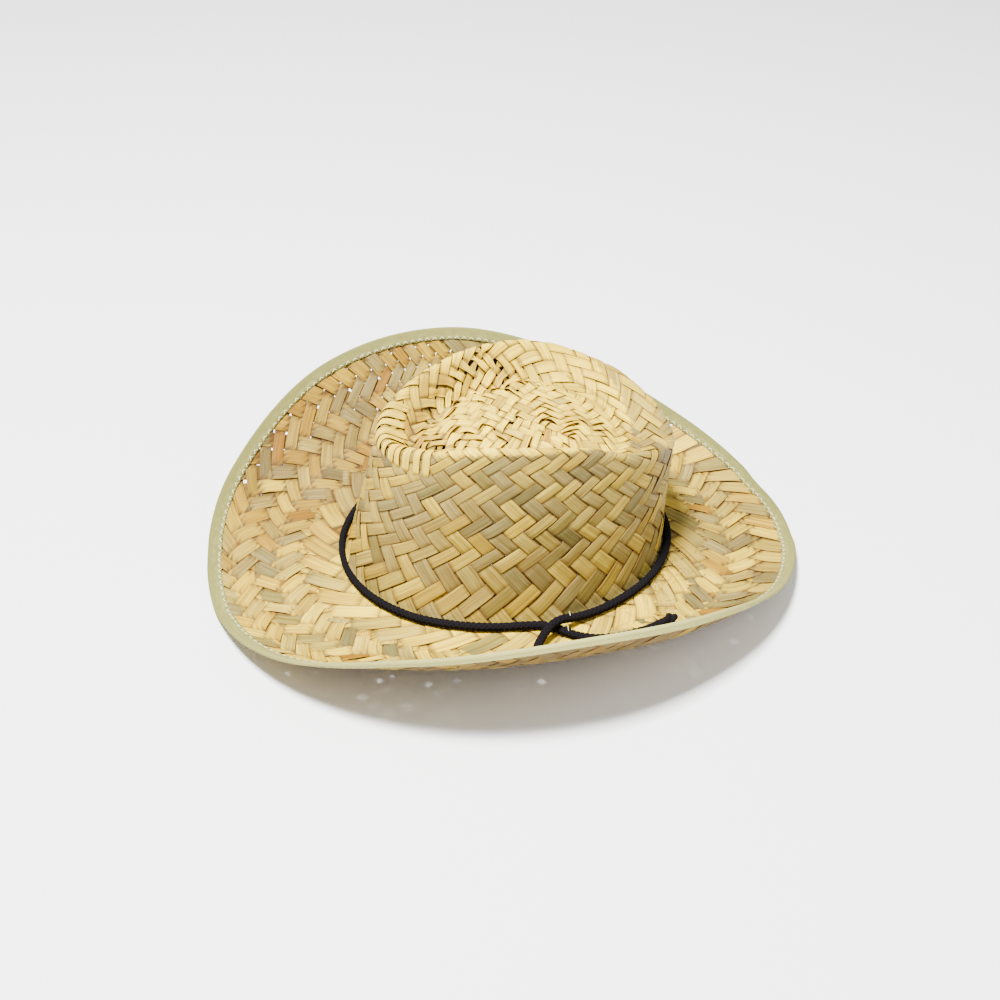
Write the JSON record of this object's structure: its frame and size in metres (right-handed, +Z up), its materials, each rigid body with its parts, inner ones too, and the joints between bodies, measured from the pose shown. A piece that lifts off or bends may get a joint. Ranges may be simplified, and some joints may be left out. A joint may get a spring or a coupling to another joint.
{
  "type": "straw cowboy hat",
  "caption": "Plaited straw hat with a dented crown, a brim rolled up at the sides, a bound edge and a black cord tied round the crown.",
  "frame": {"origin": "on the surface that the hat rests on, under the middle of the brim", "axes": "+Z up through the crown, -Y towards the front of the hat, +X to its wearer's left"},
  "size_m": [0.3348, 0.3639, 0.1162],
  "materials": {
    "straw": "plaited natural straw, satin",
    "tape": "plain woven tape, matt",
    "cord": "twisted fibre cord, matt"
  },
  "bodies": {
    "root": {"straw_body": "straw", "brim_binding": "tape", "hat_cord": "cord", "hidden_end_knot": "cord", "front_end_knot": "cord"}
  },
  "joints": []
}
